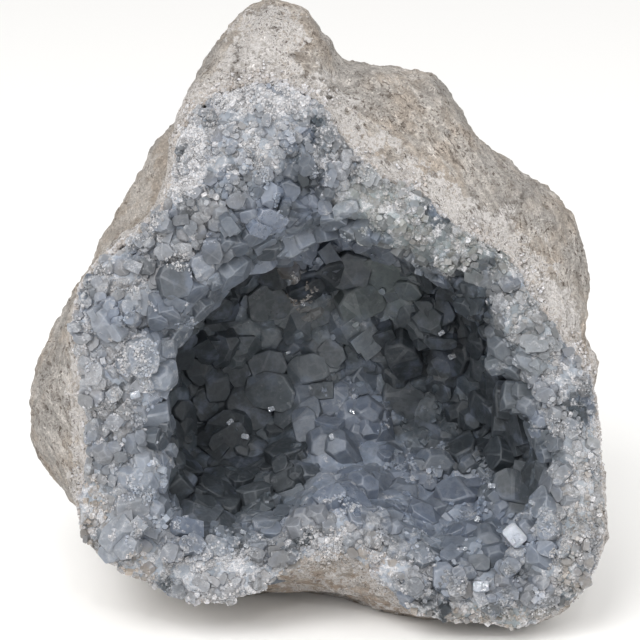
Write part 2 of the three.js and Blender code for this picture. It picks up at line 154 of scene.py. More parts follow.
def merged_copy(node: Object) -> BMesh:
    """A solid's mesh with its loose triangles joined.

    Args:
        node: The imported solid, which is left as it is.

    Returns:
        A new bmesh that the caller frees.
    """
    bm = bmesh.new()
    bm.from_mesh(node.data)
    bmesh.ops.remove_doubles(bm, verts=bm.verts, dist=WELD)
    return bm


def new_piece(name: str, bm: BMesh, material: Material) -> Object:
    """Puts a finished bmesh into the scene as an object at the origin and frees it.

    Args:
        name: The piece's name.
        bm: Its mesh, in metres and in place.
        material: Its finish.

    Returns:
        The new object.
    """
    mesh = bpy.data.meshes.new(name)
    bm.to_mesh(mesh)
    bm.free()
    mesh.materials.append(material)
    piece = bpy.data.objects.new(name, mesh)
    bpy.context.scene.collection.objects.link(piece)
    LOG.info("%s: %d triangles", name, len(mesh.loops) - 2 * len(mesh.polygons))
    return piece


# ---- shader maths


def maths(operation: str) -> Callable[..., "Value"]:
    """A method of values that makes one Math node, with the value as its first operand."""

    def method(*operands: Any) -> "Value":
        """The node's result."""
        inputs = dict(enumerate(operands))
        return operands[0].shader.node("ShaderNodeMath", {"operation": operation}, inputs)

    return method


class Value:
    """A number or colour inside a shader, with the arithmetic that makes Math nodes."""

    __add__ = __radd__ = maths("ADD")
    __sub__ = maths("SUBTRACT")
    __mul__ = __rmul__ = maths("MULTIPLY")
    size = maths("ABSOLUTE")
    at_most = maths("MINIMUM")
    at_least = maths("MAXIMUM")

    def __init__(self, shader: "Shader", socket: Any) -> None:
        """Keeps the shader that holds the socket."""
        self.shader = shader
        self.socket = socket

    def __rsub__(self, other: float) -> "Value":
        """A plain number less this value."""
        return self.shader.node("ShaderNodeMath", {"operation": "SUBTRACT"}, {0: other, 1: self})

    def within(self, low: float, high: float) -> "Value":
        """A mask that rises smoothly from 0 at `low` to 1 at `high`."""
        settings = {"interpolation_type": "SMOOTHSTEP", "clamp": True}
        inputs = {"Value": self, "From Min": low, "From Max": high}
        return self.shader.node("ShaderNodeMapRange", settings, inputs)


class Shader:
    """One material and the few ways in which this script adds nodes to it."""

    def __init__(self, name: str) -> None:
        """Makes the material with its Principled shader and its output."""
        self.material = bpy.data.materials.new(name)
        self.material.use_nodes = True
        self.tree = self.material.node_tree
        self.tree.nodes.clear()
        self.output = self.tree.nodes.new("ShaderNodeOutputMaterial")
        self.principled = self.tree.nodes.new("ShaderNodeBsdfPrincipled")
        self.tree.links.new(self.principled.outputs["BSDF"], self.output.inputs["Surface"])

    def node(self, kind: str, settings: dict[str, Any], inputs: dict[Any, Any], output: Any = 0) -> Value:
        """Adds a node.

        Args:
            kind: The node's type.
            settings: Its own properties, set before its sockets.
            inputs: Values or links for its sockets, by name or number.
            output: Which of its outputs to hand back.

        Returns:
            The chosen output.
        """
        made = self.tree.nodes.new(kind)
        for name, setting in settings.items():
            setattr(made, name, setting)
        for name, value in inputs.items():
            self.feed(made.inputs[name], value)
        return Value(self, made.outputs[output])

    def feed(self, socket: NodeSocket, value: Any) -> None:
        """Links a socket to a value of this shader, or sets it to a number or to a colour in hex digits."""
        if isinstance(value, Value):
            self.tree.links.new(value.socket, socket)
        else:
            socket.default_value = linear(value) if isinstance(value, str) else value

    def place(self) -> Value:
        """Where a point is on the object, in metres."""
        return self.node("ShaderNodeTexCoord", {}, {}, "Object")

    def attribute(self, name: str, output: str = "Fac") -> Value:
        """A number, or with the output Vector a place, that the mesh carries under this name."""
        return self.node("ShaderNodeAttribute", {"attribute_name": name}, {}, output)

    def clouds(self, size_mm: float, detail: float, rough: float, at: Value | None = None) -> Value:
        """Soft noise from 0 to 1 with lumps about `size_mm` across."""
        place, scale = at or self.place(), 1 / (size_mm * MM)
        inputs = {"Vector": place, "Scale": scale, "Detail": detail, "Roughness": rough}
        return self.node("ShaderNodeTexNoise", {}, inputs)

    def blend(self, a: Any, b: Any, share: Any) -> Value:
        """A colour a share of the way from a to b."""
        return self._mix("MIX", share, a, b)

    def times(self, colour: Any, factor: Value) -> Value:
        """A colour made lighter or darker by a number."""
        grey = self.node("ShaderNodeCombineColor", {}, {0: factor, 1: factor, 2: factor})
        return self._mix("MULTIPLY", 1.0, colour, grey)

    def _mix(self, way: str, share: Any, a: Any, b: Any) -> Value:
        """A Mix node for colours, whose sockets go by number because their names occur more than once."""
        factor, first, second, result = 0, 6, 7, 2
        settings = {"data_type": "RGBA", "blend_type": way, "clamp_factor": True}
        return self.node("ShaderNodeMix", settings, {factor: share, first: a, second: b}, result)

    def bump(self, height: Value, depth_mm: float, strength: float) -> Value:
        """A normal from relief that is `depth_mm` deep."""
        inputs = {"Height": height, "Distance": depth_mm * MM, "Strength": strength}
        return self.node("ShaderNodeBump", {}, inputs)

    def finish(self, inputs: dict[str, Any]) -> Material:
        """Feeds the Principled shader and hands back the material."""
        for name, value in inputs.items():
            self.feed(self.principled.inputs[name], value)
        return self.material


# ---- finishes


@dataclass(frozen=True)
class CelestiteFinish:
    """Cloudy grey-blue crystal that lets some light through, veiled inside and frosted in places."""

    name: str = "celestite"
    grey: str = "959ca6"
    blue: str = "7a8599"
    green: str = "8a9490"
    warm: str = "a69b90"
    # Dark slate that `shade` blends in: painted shade in the hollow, its recesses and dark holes, and a
    # darker tone in places on the rim.
    deep: str = "363d43"
    frost: str = "cfd1d6"
    transmission: float = 0.45
    ior: float = 1.5
    specular: float = 0.4
    absorption: str = "8fa3bd"
    absorption_per_metre: float = 8.0
    glow: float = 0.3
    glow_depth_mm: float = 3.0
    glow_reach: tuple[float, float, float] = (0.8, 0.9, 1.0)
    veil_mm: float = 4.5
    cloud_mm: float = 1.5
    broad_mm: float = 16.0
    bluish_mm: float = 9.0
    wisp_mm: float = 5.0
    wisp_sharpness: float = 12.0
    sugar_mm: float = 0.6
    powder_mm: float = 3.2
    ripple_mm: float = 1.1
    relief_mm: float = 0.4

    def material(self) -> Material:
        """Builds the finish from the numbers that each crystal carries."""
        s = Shader(self.name)
        edge, core = s.attribute("edge"), s.attribute("core")
        tone, frost, shade, gloss, green, warm = (s.attribute(n) for n in TRAITS)
        body = self.grey
        # The last blend goes towards the dark slate by `shade`: painted shade, and a darker tone in places.
        for colour, share in ((self.blue, tone), (self.green, green), (self.warm, warm), (self.deep, shade)):
            body = s.blend(body, colour, share)
        veil = s.clouds(self.veil_mm, 5, 0.7)
        cloud = s.clouds(self.cloud_mm, 4, 0.7).within(0.34, 0.66)
        broad = s.clouds(self.broad_mm, 3, 0.6).within(0.36, 0.64)
        # Veils and clouds vary the tone, and the middle of each face is a little darker: painted shade of
        # light sinking into the crystal.
        light = 0.78 + veil.within(0.32, 0.68) * 0.26 + cloud * 0.16 + broad * 0.18 - core * 0.1
        bluish = s.clouds(self.bluish_mm, 4, 0.6).within(0.5, 0.7) * 0.5
        body = s.blend(s.times(body, light), self.blue, bluish)
        wisp = 1 - ((s.clouds(self.wisp_mm, 3, 0.55) - 0.5).size() * self.wisp_sharpness).at_most(1.0)
        sugar = s.clouds(self.sugar_mm, 2, 0.7).within(0.38, 0.62)
        powder = (frost - 0.75 + s.clouds(self.powder_mm, 4, 0.7).within(0.3, 0.7)).within(0.1, 0.65)
        # Broken edges are paler: partly frosted wear, partly painted light of thin edges that light shines
        # through, dimmed where there is painted shade. Wisps are pale veils and powder is frost.
        paleness = (edge * 0.16 + wisp * 0.16) * (1 - shade * 0.7) + powder * (0.4 + sugar * 0.6)
        body = s.blend(body, self.frost, paleness.at_most(1.0))
        relief = s.clouds(self.ripple_mm, 3, 0.6) * 0.3 + powder * sugar * 0.9
        roughness = (0.2 + frost * 0.5 + veil * 0.2 + shade * 0.3 - gloss * 0.8).at_most(0.9).at_least(0.05)
        material = s.finish(
            {
                "Base Color": body,
                "Roughness": roughness,
                "IOR": self.ior,
                "Transmission Weight": self.transmission,
                "Specular IOR Level": self.specular,
                "Subsurface Weight": self.glow,
                "Subsurface Radius": self.glow_reach,
                "Subsurface Scale": self.glow_depth_mm * MM,
                "Normal": s.bump(relief, self.relief_mm, 0.7),
            }
        )
        if self.transmission > 0:
            inputs = {"Color": self.absorption, "Density": self.absorption_per_metre}
            volume = s.node("ShaderNodeVolumeAbsorption", {}, inputs, "Volume")
            s.feed(s.output.inputs["Volume"], volume)
        return material


@dataclass(frozen=True)
class DruseFinish(CelestiteFinish):
    """The same crystal grown too fine to see through: sugary grains and the mass under the crystals."""

    name: str = "celestite_druse"
    grey: str = "8a9098"
    blue: str = "747e8f"
    green: str = "828a87"
    warm: str = "9c9186"
    # The druse's dark slate: painted shade in the hollow and recesses, and a darker tone in places.
    deep: str = "343b41"
    frost: str = "cac9cb"
    transmission: float = 0.0
    glow: float = 0.4
    glow_depth_mm: float = 1.5


@dataclass(frozen=True)
class MarlFinish:
    """Weathered limestone marl: pale tan, pitted and layered, darker in pits, slits and specks, with white
    patches and a reddish-brown patch that is partly painted light.
    """

    name: str = "marl"
    tan: str = "aca196"
    grey: str = "a29d98"
    pale: str = "c5bfb9"
    dirt: str = "675c52"
    # Reddish brown, made lighter than it is: painted light for the shaded bottom front.
    rust: str = "b59f8c"
    frost: str = "ebe6e3"
    roughness: float = 0.92
    relief_mm: float = 1.0
    beds_mm: float = 20.0
    bands_mm: float = 5.0
    grain_mm: float = 0.7
    lump_mm: float = 2.0
    streak_mm: float = 2.4
    slit_mm: float = 1.2
    slit_areas_mm: float = 8.0
    speck_mm: float = 1.1
    speck_areas_mm: float = 9.0
    rust_mm: float = 5.0
    dust_mm: float = 1.1
    patch_mm: float = 6.0

    def material(self) -> Material:
        """Builds the finish from places and from the numbers that the rock carries."""
        s = Shader(self.name)
        pit, rim, stain, streaky = (s.attribute(n) for n in SKIN_MARKS)
        along, bare = s.attribute("layer", "Vector"), 1 - stain
        body = s.blend(self.tan, self.grey, s.clouds(self.beds_mm, 3, 0.6).within(0.4, 0.65))
        bands = s.clouds(self.bands_mm, 4, 0.7, along).within(0.45, 0.62)
        body = s.blend(body, self.pale, bands * 0.8)
        grain = s.clouds(self.grain_mm, 3, 0.8).within(0.36, 0.64)
        streaks = (s.clouds(self.streak_mm, 2, 0.6, along) - 0.5) * streaky * 0.6
        lumps = (s.clouds(self.lump_mm, 4, 0.75) * 0.5 + 0.25 + streaks).within(0.38, 0.62)
        body = s.times(body, 0.72 + grain * 0.5 + lumps * 0.5)
        slit_areas = s.clouds(self.slit_areas_mm, 2, 0.5).within(0.4, 0.54)
        slits = s.clouds(self.slit_mm, 3, 0.6, along).within(0.57, 0.63) * slit_areas * streaky
        speck_areas = s.clouds(self.speck_areas_mm, 3, 0.6).within(0.44, 0.56)
        specks = s.clouds(self.speck_mm, 2, 0.7).within(0.56, 0.62) * speck_areas
        # The reddish-brown patch at the bottom front is partly real colour and partly painted light that
        # keeps it light in the shade.
        rust_and_painted_light_share = stain * s.clouds(self.rust_mm, 4, 0.6).within(0.3, 0.65)
        body = s.blend(body, self.rust, rust_and_painted_light_share * 0.8)
        patches = (rim * 1.3 - 0.8 + s.clouds(self.patch_mm, 4, 0.7).within(0.34, 0.66)).within(0.28, 0.5)
        dust = patches * s.clouds(self.dust_mm, 3, 0.75).within(0.34, 0.56)
        body = s.blend(body, self.frost, dust)
        # Pits, slits and specks are darker. Pits and slits keep their colour on the reddish-brown patch,
        # which is partly painted light.
        dirt = (slits * 0.7 * bare + specks * 0.7 + pit * 0.55 * bare).at_most(1.0)
        body = s.blend(body, self.dirt, dirt)
        relief = s.bump(grain * 0.6 + lumps * 0.9 - slits * 0.8 + dust * 0.4, self.relief_mm, 1.0)
        return s.finish({"Base Color": body, "Roughness": self.roughness, "Normal": relief})


@dataclass(frozen=True)
class BackdropFinish:
    """Plain pale studio paper."""

    name: str = "backdrop"
    paper: str = "f4f3f1"
    roughness: float = 0.9

    def material(self) -> Material:
        """Builds the finish, which is one even colour."""
        return Shader(self.name).finish({"Base Color": self.paper, "Roughness": self.roughness})


# ---- the crust's face


@dataclass
class Seat:
    """A place where something grows: where, which way out, how deep in the hollow and how near the rock."""

    p: Vector
    out: Vector
    hollow: float
    margin: float = 0.0


class CrustFace:
    """The crust's open face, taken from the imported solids, and what is known about each place on it.

    Sizes are in mm. The mouth of the hollow lies on a plane that leans back as it rises.
    """

    reach: float = 9.0
    open_gap: float = 1.5
    lip_reach: float = 16.0
    lip_gap: float = 0.6
    most_backward: float = 0.9
    mouth_y: float = -36.0
    mouth_lean: float = 0.26
    mouth_z: float = 84.0
    hollow_depths: Span = (-4.0, 30.0)
    margin_widths: Span = (13.0, 3.0)
    lip_thinning: float = 1.6

    def __init__(self, crust: Object, rock: Object, seed: int) -> None:
        """Sorts the crust's faces into the open ones and those that lie on the rock.

        Args:
            crust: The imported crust.
            rock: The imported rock.
            seed: For every random choice on the face.
        """
        self.random = random.Random(seed)
        rock_bm = merged_copy(rock)
        self.rock_tree = BVHTree.FromBMesh(rock_bm)
        bm = merged_copy(crust)
        open_faces = [f for f in bm.faces if self.is_open(f.calc_center_median())]
        self.corners, self.normals, self.areas = self._measured(open_faces)
        self.tree = BVHTree.FromBMesh(bm)
        self.middles = KDTree(len(open_faces))
        for i, f in enumerate(open_faces):
            self.middles.insert(f.calc_center_median(), i)
        self.middles.balance()
        self.ways_out = [self._way_out(f.calc_center_median()) for f in open_faces]
        lip = [f for f in rock_bm.faces if f.normal.y < self.most_backward and self._by_the_lip(f)]
        self.lip_corners, self.lip_normals, self.lip_areas = self._measured(lip)
        polygons = [[v.index for v in f.verts] for f in lip]
        self.lip_tree = BVHTree.FromPolygons([v.co[:] for v in rock_bm.verts], polygons)
        bm.free()
        rock_bm.free()

    @staticmethod
    def _measured(faces: list[BMFace]) -> tuple[np.ndarray, list[Vector], np.ndarray]:
        """The corners, the normals and the areas of some triangles."""
        corners = np.array([[c.vert.co[:] for c in f.loops] for f in faces])
        return corners, [f.normal.copy() for f in faces], np.array([f.calc_area() for f in faces])

    def is_open(self, p: Vector) -> bool:
        """Whether a point of the crust stands clear of the rock."""
        return gap(self.rock_tree, p) > self.open_gap

    def _by_the_lip(self, face: BMFace) -> bool:
        """Whether a face of the rock lies beside the crust, and not under it."""
        return self.lip_gap < gap(self.tree, face.calc_center_median()) < self.lip_reach

    def _way_out(self, p: Vector) -> Vector:
        """The direction out of the rock at a place, averaged over the crust's faces around it."""
        total = Vector()
        for _, i, distance in self.middles.find_range(p, self.reach * MM):
            total += self.normals[i] * self.areas[i] * (1 - distance / (self.reach * MM * 1.2))
        return total.normalized() if total.length > 0 else Vector((0, -1, 0))

    def seat_at(self, p: Vector) -> Seat:
        """Everything about the place at a point of the face."""
        mouth = (self.mouth_y + self.mouth_lean * (p.z / MM - self.mouth_z)) * MM
        hollow = smooth_step((p.y - mouth) / MM, *self.hollow_depths)
        margin = smooth_step(gap(self.lip_tree, p), *self.margin_widths)
        return Seat(p, self.ways_out[self.middles.find(p)[1]], hollow, margin)

    def random_seats(self, count: int) -> list[Seat]:
        """Places spread at random over the open face, evenly by area."""
        return [self.seat_at(p) for p, _ in self._random_points(count, self.corners, self.areas)]

    def lip_seats(self, count: int, reach_mm: float) -> list[Seat]:
        """Places on the rock, fewer and fewer away from the crust, with that distance as their `hollow`."""
        seats = []
        for p, i in self._random_points(count, self.lip_corners, self.lip_areas):
            away = gap(self.tree, p)
            if away < reach_mm * self.random.random() ** self.lip_thinning:
                seats.append(Seat(p, self.lip_normals[i], away / reach_mm))
        return seats

    def _random_points(self, count: int, corners: np.ndarray, areas: np.ndarray) -> list[tuple[Vector, int]]:
        """Points spread evenly over triangles, each with the number of its triangle."""
        chance = areas / areas.sum()
        picks = np.random.default_rng(self.random.randrange(1 << 30)).choice(len(chance), count, p=chance)
        points = []
        for i in picks:
            u, v = self.random.random(), self.random.random()
            if u + v > 1:
                u, v = 1 - u, 1 - v
            a, b, c = corners[i]
            points.append((Vector(a + (b - a) * u + (c - a) * v), int(i)))
        return points


# ---- crystals


class Tip(Enum):
    """How a crystal ends."""

    ROOF = "two slopes that meet in a ridge"
    HIP = "four slopes around a short ridge"
    FLAT = "a flat top with sloped shoulders"
    CHISEL = "one long slope"
    TABLE = "a plain flat top"


@dataclass(frozen=True)
class Habit:
    """The shape of one crystal, in shares of its width: a stubby prism with cut corners and a sloped tip."""

    tip: Tip
    depth: float = 0.8
    height: float = 0.6
    corner: float = 0.24
    slope_deg: float = 34.0
    side_slope_deg: float = 38.0
    skew: float = 0.06
    round: float = 0.045
    root: float = 0.7

    def mesh(self, name: str, seed: int) -> Mesh:
        """Cuts the crystal from a block and breaks its edges.

        Args:
            name: The mesh's name.
            seed: For the unevenness of its faces.

        Returns:
            A mesh one unit wide, standing on the XY plane. Its face number `edge` is 1 on its broken edges,
            and its point number `core` is 1 in the middle of each face.
        """
        bm = bmesh.new()
        bmesh.ops.create_cube(bm, size=1.0)
        length = self.height + self.root
        bmesh.ops.scale(bm, verts=bm.verts, vec=(1.0, self.depth, length))
        bmesh.ops.translate(bm, verts=bm.verts, vec=(0, 0, self.height - length / 2))
        rng = random.Random(seed)
        for point, normal in self._cuts():
            uneven = Vector([rng.uniform(-1, 1) for _ in range(3)]) * self.skew
            self._cut(bm, point + uneven * 0.6, (normal.normalized() + uneven * 2).normalized())
        mark, core = bm.faces.layers.float.new("edge"), bm.verts.layers.float.new("core")
        if self.round > 0:
            made = bmesh.ops.bevel(
                bm,
                geom=[e for e in bm.edges if max(v.co.z for v in e.verts) > -0.9 * self.root],
                offset=self.round,
                offset_type="OFFSET",
                affect="EDGES",
                segments=1,
                profile=0.5,
                material=-1,
                clamp_overlap=True,
            )
            for face in made["faces"]:
                face[mark] = 1.0
                face.smooth = True
            made = bmesh.ops.poke(bm, faces=[f for f in bm.faces if f[mark] == 0.0])
            for vert in made["verts"]:
                vert[core] = 1.0
        mesh = bpy.data.meshes.new(name)
        bm.to_mesh(mesh)
        bm.free()
        return mesh

    def _cuts(self) -> list[tuple[Vector, Vector]]:
        """The planes that shape the block, as a point and the direction that is cut away."""
        half_depth = self.depth / 2
        cuts = []
        for side_x in (1, -1) if self.corner else ():
            for side_y in (1, -1):
                corner = Vector((side_x * (0.5 - self.corner), side_y * half_depth, 0))
                cuts.append((corner, Vector((side_x * 0.8, side_y * 1.0, 0))))
        a, b = math.radians(self.slope_deg), math.radians(self.side_slope_deg)
        across = [Vector((side * math.sin(a), 0, math.cos(a))) for side in (1, -1)]
        along = [Vector((0, side * math.sin(b), math.cos(b))) for side in (1, -1)]
        top = self.height
        if self.tip is Tip.TABLE:
            cuts.append((Vector((0, 0, top * 0.98)), Vector((0, 0, 1))))
        elif self.tip is Tip.ROOF:
            cuts += [(Vector((0, 0, top)), n) for n in across]
        elif self.tip is Tip.HIP:
            cuts += [(Vector((0, 0, top)), n) for n in across]
            cuts += [(Vector((0, n.y * 0.12, top)), n) for n in along]
        elif self.tip is Tip.FLAT:
            cuts += [(Vector((n.x * 0.3, 0, top)), n) for n in across]
            cuts += [(Vector((0, n.y * 0.2, top)), n) for n in along]
        else:
            cuts += [(Vector((-0.25, 0, top)), across[0]), (Vector((-0.3, 0, top)), across[1])]
        return cuts

    @staticmethod
    def _cut(bm: BMesh, point: Vector, normal: Vector) -> None:
        """Cuts away what lies beyond a plane and closes the cut."""
        geometry = [*bm.verts, *bm.edges, *bm.faces]
        made = bmesh.ops.bisect_plane(bm, geom=geometry, plane_co=point, plane_no=normal, clear_outer=True)
        edges = [g for g in made["geom_cut"] if isinstance(g, BMEdge)]
        if len(edges) > 2:
            bmesh.ops.holes_fill(bm, edges=edges, sides=0)


LARGE_HABITS = (
    Habit(Tip.HIP, 0.9, 0.5, 0.26, 22, 28),
    Habit(Tip.HIP, 0.95, 0.5, 0.3, 18, 24),
    Habit(Tip.FLAT, 0.9, 0.5, 0.28, 30, 34),
    Habit(Tip.FLAT, 0.8, 0.5, 0.24, 36, 30),
    Habit(Tip.FLAT, 1.0, 0.46, 0.3, 26, 30),
    Habit(Tip.ROOF, 0.8, 0.5, 0.22, 20, 40),
    Habit(Tip.CHISEL, 0.8, 0.6, 0.22, 14, 36),
    Habit(Tip.CHISEL, 0.9, 0.55, 0.26, 10, 42),
    Habit(Tip.TABLE, 0.85, 0.5, 0.24, skew=0.09),
    Habit(Tip.TABLE, 0.6, 0.55, 0.16, skew=0.09),
)
MIDDLING_HABITS = tuple(replace(habit, round=0) for habit in LARGE_HABITS)  # with plain edges
FINE_HABITS = (
    Habit(Tip.ROOF, 0.8, 0.6, 0, 34, round=0),
    Habit(Tip.TABLE, 0.9, 0.6, 0.3, round=0),
    Habit(Tip.CHISEL, 0.8, 0.7, 0, 30, round=0),
)
SUGAR_HABITS = (
    Habit(Tip.TABLE, 0.9, 0.5, 0, round=0, root=0.3),
    Habit(Tip.TABLE, 0.7, 0.6, 0, round=0, root=0.3, skew=0.12),
    Habit(Tip.ROOF, 0.8, 0.55, 0, 38, round=0, root=0.3),
)
GLINT_HABITS = (Habit(Tip.TABLE, 0.72, 0.2, 0.12, skew=0, round=0, root=0.4),)


@dataclass
class Crystal:
    """One crystal on its seat."""

    seat: Seat
    width: float
    frost: float = 0.0
    tone: float = 0.5
    shade: float = 0.0
    gloss: float = 0.0
    green: float = 0.0
    warm: float = 0.0
    lean_deg: float = 14.0
    stretch: float = 1.0
    sink: float = 0.0
    twins: int = 0


class CrystalBed:
    """Grows copies of a few crystal habits on their seats and joins them into as few pieces as may be."""

    most_triangles: int = 190_000
    leans: Span = (0.2, 1.0)
    depths: Span = (0.8, 1.1)
    twin_widths: Span = (0.45, 0.8)
    twin_away: float = 0.42
    twin_drop: float = 0.12

    def __init__(self, name: str, habits: Sequence[Habit], seed: int, box: tuple[Vector, Vector]) -> None:
        """Makes the habits' meshes.

        Args:
            name: The piece's name.
            habits: The shapes that its crystals take.
            seed: For which shape, twist and lean each crystal gets.
            box: The corners that no crystal may reach past.
        """
        self.name = name
        self.random = random.Random(seed)
        self.box = box
        self.shapes = [h.mesh(f"{name}_habit_{i}", seed + i) for i, h in enumerate(habits)]
        for shape in self.shapes:
            for trait in TRAITS:
                shape.attributes.new(trait, "FLOAT", "FACE")
        self.meshes = [bmesh.new()]
        self.triangles = 0

    def grow_all(self, crystals: Iterable[Crystal]) -> None:
        """Adds many crystals."""
        for crystal in crystals:
            self.grow(crystal)

    def grow(self, crystal: Crystal) -> None:
        """Adds one crystal, and the smaller ones that have grown parallel with it."""
        seat = crystal.seat
        axis = Vector([self.random.uniform(-1, 1) for _ in range(3)]).cross(seat.out).normalized()
        lean = math.radians(crystal.lean_deg * self.random.uniform(*self.leans))
        out = Matrix.Rotation(lean, 3, axis) @ seat.out
        turn = out.to_track_quat("Z", "Y").to_matrix() @ self._twist()
        width = crystal.width * MM
        root = seat.p - out * crystal.sink * MM
        self._stand(crystal, turn, root, width)
        for _ in range(crystal.twins):
            share = self.random.uniform(*self.twin_widths)
            away = turn @ self._twist() @ Vector((width * self.twin_away, 0, 0))
            drop = out * width * self.random.uniform(-self.twin_drop, self.twin_drop + 0.5 * (1 - share))
            self._stand(crystal, turn, root + away - drop + out * width * 0.3 * (1 - share), width * share)

    def _twist(self) -> Matrix:
        """A random turn about the Z axis."""
        return Matrix.Rotation(self.random.uniform(0, math.tau), 3, "Z")

    def _stand(self, crystal: Crystal, turn: Matrix, root: Vector, width: float) -> None:
        """Adds one block of a crystal.

        Args:
            crystal: The crystal that it belongs to.
            turn: Which way it stands.
            root: Where it stands, in metres.
            width: Its width, in metres.
        """
        shape = self.random.choice(self.shapes)
        size = Matrix.Diagonal((width, width * self.random.uniform(*self.depths), width * crystal.stretch))
        matrix = (turn @ size).to_4x4()
        matrix.translation = root
        matrix.translation += self._back_inside(matrix, shape)
        for trait in TRAITS:
            data = shape.attributes[trait].data
            data.foreach_set("value", np.full(len(data), getattr(crystal, trait), np.float32))
        self._make_room(len(shape.loops) - 2 * len(shape.polygons))
        shape.transform(matrix)
        self.meshes[-1].from_mesh(shape)
        shape.transform(matrix.inverted())

    def _make_room(self, triangles: int) -> None:
        """Starts another piece where the last one would grow too heavy."""
        self.triangles += triangles
        if self.triangles > self.most_triangles:
            self.meshes.append(bmesh.new())
            self.triangles = triangles

    def _back_inside(self, matrix: Matrix, shape: Mesh) -> Vector:
        """How far a crystal has to move so that it stays inside the box."""
        corners = [matrix @ v.co for v in shape.vertices]
        low, high = self.box
        shift = Vector()
        for k in range(3):
            shift[k] += max(0.0, low[k] - min(c[k] for c in corners))
            shift[k] -= max(0.0, max(c[k] for c in corners) - high[k])
        return shift

    def pieces(self, material: Material) -> list[Object]:
        """Closes the bed and hands back the joined pieces."""
        for shape in self.shapes:
            bpy.data.meshes.remove(shape)
        names = [self.name] + [f"{self.name}_{i}" for i in range(2, len(self.meshes) + 1)]
        return [new_piece(name, bm, material) for name, bm in zip(names, self.meshes)]


@dataclass(frozen=True)
class Look:
    """What crystals are like at a place: width in mm; shares of frost, blue, shade, green and warm grey."""

    width: float
    frost: float = 0.1
    tone: float = 0.5
    shade: float = 0.0
    green: float = 0.0
    warm: float = 0.0

    def towards(self, other: "Look", share: float) -> "Look":
        """The look a share of the way to another."""
        return Look(*(mix(getattr(self, f.name), getattr(other, f.name), share) for f in fields(self)))


@dataclass(frozen=True)
class Size:
    """A size of crystal: its shapes, how many are thrown, least and usual width in mm, sink in widths."""

    name: str
    habits: tuple[Habit, ...]
    tries: int
    least: float
    usual: float
    sink: float


@dataclass(frozen=True)
class Oval:
    """An upright oval seen from the front: its middle and half-size in mm."""

    x: float
    z: float
    half_x: float
    half_z: float

    def away(self, x: float, z: float) -> float:
        """How far a place is from the middle, where 1 is the edge."""
        return math.hypot((x - self.x) / self.half_x, (z - self.z) / self.half_z)


@dataclass(frozen=True)
class Patch(Oval):
    """A part of the crust with its own look, on the rim or inside the hollow."""

    look: Look
    inside: bool = False

    def share(self, seat: Seat) -> float:
        """How much a place belongs to the patch, from 0 to 1."""
        away = self.away(seat.p.x / MM, seat.p.z / MM)
        on_rim = 1 - smooth_step(seat.hollow, *RIM_END)
        return smooth_step(away, *PATCH_FADE) * (1 - on_rim if self.inside else on_rim)


@dataclass(frozen=True)
class Landmark:
    """A crystal that stands out and is set one by one: a rough place and a width in mm, and its look."""

    at: tuple[float, float, float]
    width: float
    stretch: float = 1.0
    frost: float = 0.1
    tone: float = 0.5
    shade: float = 0.0
    green: float = 0.0


